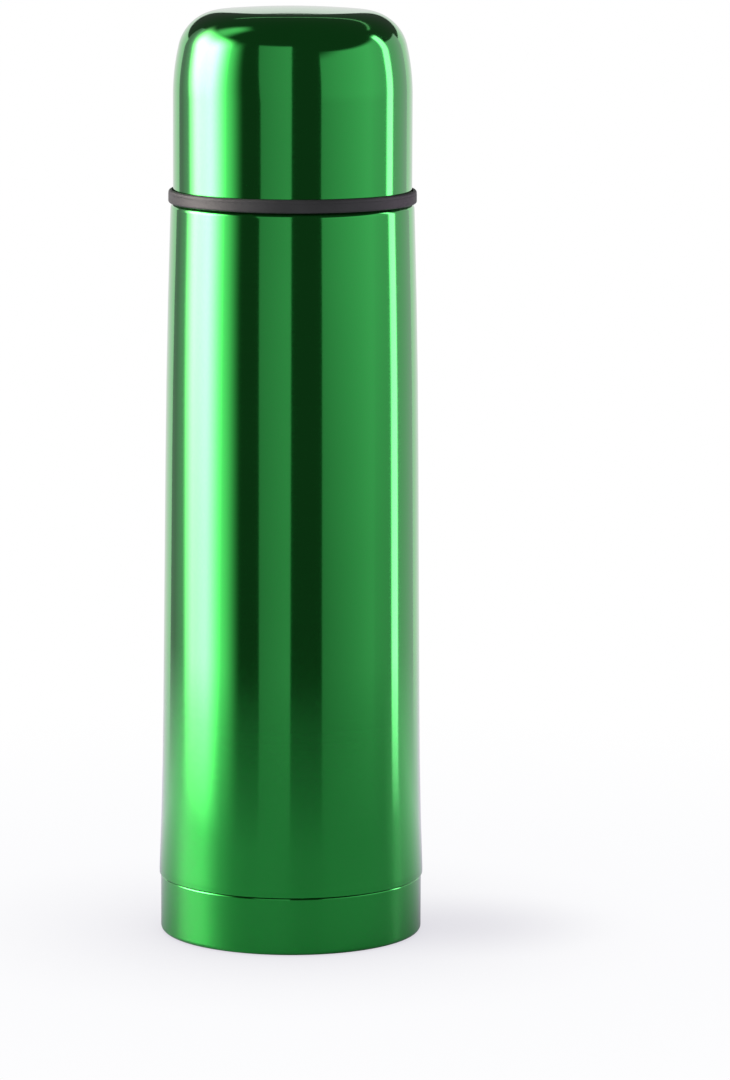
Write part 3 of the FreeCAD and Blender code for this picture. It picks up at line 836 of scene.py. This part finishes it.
def lamp_material(name, strength, soft, colour=(1, 1, 1), across=None, upward=None):
    """A glowing see-through material, so that the light of overlapping cards adds up.

    Soft is the width of its fading (left, right, low, high) edges. Across and upward are
    (place, level, place, level), with places from 0 to 1 across the card or up it.
    """
    material = bpy.data.materials.new(name)
    material.use_nodes = True
    tree = material.node_tree
    tree.nodes.clear()
    out = tree.nodes.new("ShaderNodeOutputMaterial")
    glow = tree.nodes.new("ShaderNodeEmission")
    glow.inputs["Color"].default_value = (*colour, 1)
    through = tree.nodes.new("ShaderNodeBsdfTransparent")
    added = tree.nodes.new("ShaderNodeAddShader")
    tree.links.new(glow.outputs[0], added.inputs[0])
    tree.links.new(through.outputs[0], added.inputs[1])
    tree.links.new(added.outputs[0], out.inputs[0])
    uv = tree.nodes.new("ShaderNodeTexCoord")
    split = tree.nodes.new("ShaderNodeSeparateXYZ")
    tree.links.new(uv.outputs["UV"], split.inputs[0])
    fades = []
    edges = (("X", 0), ("X", 1), ("Y", 0), ("Y", 1))
    for (socket, flip), width in zip(edges, soft):
        if width > 0:
            fades.append((socket, "SMOOTHSTEP", (flip, 0, abs(flip - width), 1)))
    for socket, levels in (("X", across), ("Y", upward)):
        if levels:
            fades.append((socket, "LINEAR", levels))
    level = None
    for socket, kind, (first, low, last, high) in fades:
        fade = tree.nodes.new("ShaderNodeMapRange")
        fade.interpolation_type = kind
        fade.inputs["From Min"].default_value = first
        fade.inputs["From Max"].default_value = last
        fade.inputs["To Min"].default_value = low
        fade.inputs["To Max"].default_value = high
        tree.links.new(split.outputs[socket], fade.inputs["Value"])
        product = tree.nodes.new("ShaderNodeMath")
        product.operation = "MULTIPLY"
        product.inputs[1].default_value = strength
        tree.links.new(fade.outputs["Result"], product.inputs[0])
        if level is not None:
            tree.links.new(level, product.inputs[1])
        level = product.outputs[0]
    if level is None:
        glow.inputs["Strength"].default_value = strength
    else:
        tree.links.new(level, glow.inputs["Strength"])
    return material


def only_in_reflections(obj):
    """Keeps a stage piece out of the camera's view and of the diffuse light."""
    obj.visible_camera = False
    obj.visible_diffuse = False
    obj.visible_shadow = False
    obj.visible_transmission = False


def card(name, left, right, low, high, strength, lean=(0, 0), **look):
    """A glowing curved card between left and right, as (bearing in degrees, distance), and two heights.

    A bearing of 0 is towards the camera and a positive one is to its right. Lean is how far the
    left and right edges swing from their bearing at the table's height for each metre of height.
    """
    columns, rows = 16, 12
    verts, places = [], []
    for j in range(rows + 1):
        z = low + (high - low) * j / rows
        for i in range(columns + 1):
            t = i / columns
            swing = lean[0] + (lean[1] - lean[0]) * t
            angle = math.radians(left[0] + (right[0] - left[0]) * t + swing * z)
            distance = left[1] + (right[1] - left[1]) * t
            verts.append((math.sin(angle) * distance, -math.cos(angle) * distance, z))
            places.append((t, j / rows))
    faces = []
    for j in range(rows):
        for i in range(columns):
            a = j * (columns + 1) + i
            faces.append((a, a + 1, a + columns + 2, a + columns + 1))
    mesh = bpy.data.meshes.new(name)
    mesh.from_pydata(verts, [], faces)
    layer = mesh.uv_layers.new(name="UV")
    for loop in mesh.loops:
        layer.data[loop.index].uv = places[loop.vertex_index]
    obj = placed(name, mesh)
    soft = look.pop("soft", (0, 0, 0, 0))
    mesh.materials.append(lamp_material(name, strength, soft, **look))
    only_in_reflections(obj)
    return obj


WARM = (1.0, 0.90, 0.84)
COOL = (1.06, 1.0, 1.22)
PALE = (1.35, 1.0, 1.38)
PINK = (1.08, 0.84, 1.06)


def make_cards():
    """The softboxes, panels and backdrop that the lacquer mirrors, all seen only in reflections."""
    low = -0.45
    card("softbox", (-117, 1.0), (-64, 1.0), low, 1.16, 12.6, (-22, 0), colour=WARM,
         soft=(0.34, 0.40, 0, 0.42), upward=(0.20, 0.40, 0.60, 1.0))
    card("softbox_halo", (-98, 1.06), (-46, 1.02), low, 1.1, 1.35, (0, -6),
         soft=(0.3, 0.46, 0, 0.34))
    card("top_glow", (-125, 0.62), (-80, 0.62), 0.62, 1.75, 0.75, soft=(0.4, 0.5, 0.2, 0.6))
    card("left_wing", (-140, 1.2), (-109, 1.03), low, 0.9, 0.40, (0, -27), colour=PALE,
         across=(0.3, 0.45, 0.8, 1.0))
    card("left_panel", (-30, 1.6), (-1, 1.6), low, 1.50, 0.36, (-6, 0), colour=COOL,
         soft=(0, 0, 0, 0.12), across=(0, 0.66, 1, 1.0), upward=(0.05, 0.76, 0.28, 1.0))
    card("right_panel", (27, 1.9), (80, 1.19), low, 1.0, 0.57, (0, 10), colour=COOL,
         soft=(0, 0, 0, 0.15), across=(0, 0.56, 0.9, 1.0), upward=(0.05, 0.42, 0.46, 1.0))
    card("right_panel_edge", (80, 1.19), (100, 0.92), low, 1.0, 0.51, (10, 12), colour=COOL,
         soft=(0, 0, 0, 0.15), across=(0, 1.1, 1, 0.86), upward=(0.05, 0.32, 0.46, 1.0))
    card("edge_strip", (99.5, 1.0), (111.5, 1.0), low, 1.0, 3.2, (3, 3), colour=PINK,
         soft=(0.25, 0.25, 0, 0.1))
    card("right_wing", (108.5, 1.0), (142, 1.1), low, 0.62, 0.42, (6, 0), colour=PALE)
    card("backdrop", (142, 1.25), (220, 1.25), low, 0.52, 0.72)
    card("ribbon", (118, 1.1), (203, 1.1), 1.20, 1.30, 0.40, soft=(0.1, 0.1, 0.3, 0.3))


def make_room():
    """A dim room round the cards, so that the dark reflections aren't quite black."""
    mesh = bpy.data.meshes.new("room")
    shape = bmesh.new()
    bmesh.ops.create_uvsphere(shape, u_segments=32, v_segments=16, radius=4.0)
    shape.to_mesh(mesh)
    shape.free()
    obj = placed("room", mesh)
    mesh.materials.append(lamp_material("room", 0.048, (0, 0, 0, 0)))
    only_in_reflections(obj)


def disc(name, radius, z, segments=128):
    """A flat round sheet on the axis."""
    verts = [(0, 0, z)]
    for k in range(segments):
        angle = 2 * math.pi * k / segments
        verts.append((radius * math.cos(angle), radius * math.sin(angle), z))
    faces = [(0, k + 1, (k + 1) % segments + 1) for k in range(segments)]
    mesh = bpy.data.meshes.new(name)
    mesh.from_pydata(verts, [], faces)
    return placed(name, mesh)


TABLE_Z = -0.0001            # in metres, just under the standing ring
FLOOR_Z = -0.0002
FLOOR_TONE = (1.0, 1.0, 1.0)
NEAR_SHADE_TONE = (0.965, 0.965, 0.982)     # painted shade: a little darker and cooler near the flask
NEAR_SHADE_REACH = (0.05, 0.32)
# Painted shadow: a darker spot on the floor just right of the flask's foot.
SHADE_TONE = (0.55, 0.53, 0.60)
SHADE_PLACE = (0.048, 0.004, 0.0)
SHADE_REACH = 0.045


def make_floor():
    """A white floor glowing evenly, with the flask's soft shade painted on it, seen only by the camera.
    """
    floor = disc("floor", 6.0, FLOOR_Z)
    n = Nodes("floor")
    # Painted shade: ambient occlusion darkens the floor's glow round the flask's foot.
    near = n.add("ShaderNodeAmbientOcclusion", samples=12, Distance=0.07)
    # Painted shadow: the floor's glow is darkened round SHADE_PLACE, just right of the flask's foot.
    away = n.add("ShaderNodeVectorMath", operation="DISTANCE")
    n.link(n.coord, away.inputs[0])
    away.inputs[1].default_value = SHADE_PLACE
    painted_shadow_spot = n.add("ShaderNodeMapRange", interpolation_type="SMOOTHSTEP")
    painted_shadow_spot.inputs["From Max"].default_value = SHADE_REACH
    painted_shadow_spot.inputs["To Min"].default_value = 0.70
    n.link(away.outputs["Value"], painted_shadow_spot.inputs["Value"])
    lit = n.ramp(near.outputs["AO"], 0.45, 1.0, (0.35, 0.97))
    both = n.add("ShaderNodeMath", operation="MULTIPLY")
    n.link(lit, both.inputs[0])
    n.link(painted_shadow_spot.outputs["Result"], both.inputs[1])
    reach = n.add("ShaderNodeVectorMath", operation="LENGTH")
    n.link(n.coord, reach.inputs[0])
    # Painted shade: the floor's glow is a little darker and cooler near the flask.
    open_floor = n.mix(n.ramp(reach.outputs["Value"], 0, 1, NEAR_SHADE_REACH), NEAR_SHADE_TONE, FLOOR_TONE)
    shaded = n.mix(both.outputs[0], SHADE_TONE, open_floor)
    glow = n.add("ShaderNodeEmission", Strength=1.0)
    n.link(shaded, glow.inputs["Color"])
    n.link(glow.outputs[0], n.tree.nodes["Material Output"].inputs["Surface"])
    n.tree.nodes.remove(n.shader)
    floor.data.materials.append(n.material)
    floor.visible_glossy = False


def make_table():
    """The satin table top that the lacquer mirrors, seen only in reflections, with painted light: it
    glows faintly, more towards its back.
    """
    table = disc("table_top", 0.6, TABLE_Z)
    t = Nodes("table_top")
    t.uniform(Base_Color=(0.155, 0.205, 0.22, 1), Roughness=0.55, IOR=1.5)
    # Painted light: a pinkish glow on the table top, faint near the flask and stronger towards its
    # back, for the light that the far table catches.
    t.uniform(Emission_Color=(1.3, 1.0, 1.3, 1))
    place = t.add("ShaderNodeSeparateXYZ")
    t.link(t.coord, place.inputs[0])
    back = t.ramp(place.outputs["Y"], 0.014, 0.42, (-0.02, 0.14))
    t.link(back, t.shader.inputs["Emission Strength"])
    reach = t.add("ShaderNodeVectorMath", operation="LENGTH")
    t.link(t.coord, reach.inputs[0])
    t.link(t.ramp(reach.outputs["Value"], 1, 0, (0.22, 0.50)), t.shader.inputs["Alpha"])
    table.data.materials.append(t.material)
    only_in_reflections(table)


def make_light():
    """White surroundings for the camera and soft light, and one broad lamp from the left."""
    world = bpy.data.worlds.new("studio")
    bpy.context.scene.world = world
    world.use_nodes = True
    sky = world.node_tree.nodes["Background"]
    sky.inputs["Color"].default_value = (1, 1, 1, 1)
    sky.inputs["Strength"].default_value = 1.0
    world.cycles_visibility.glossy = False
    data = bpy.data.lights.new("side_lamp", "AREA")
    data.shape = "RECTANGLE"
    data.size = 0.5
    data.size_y = 0.9
    data.energy = 6.0
    lamp = placed("side_lamp", data)
    lamp.location = (-0.95, -0.15, 0.62)
    lamp.rotation_euler = (Vector((0, 0, 0.05)) - lamp.location).to_track_quat("-Z", "Y").to_euler()
    lamp.visible_glossy = False


make_camera()
make_cards()
make_room()
make_floor()
make_table()
make_light()
bpy.context.scene.view_settings.view_transform = "Standard"
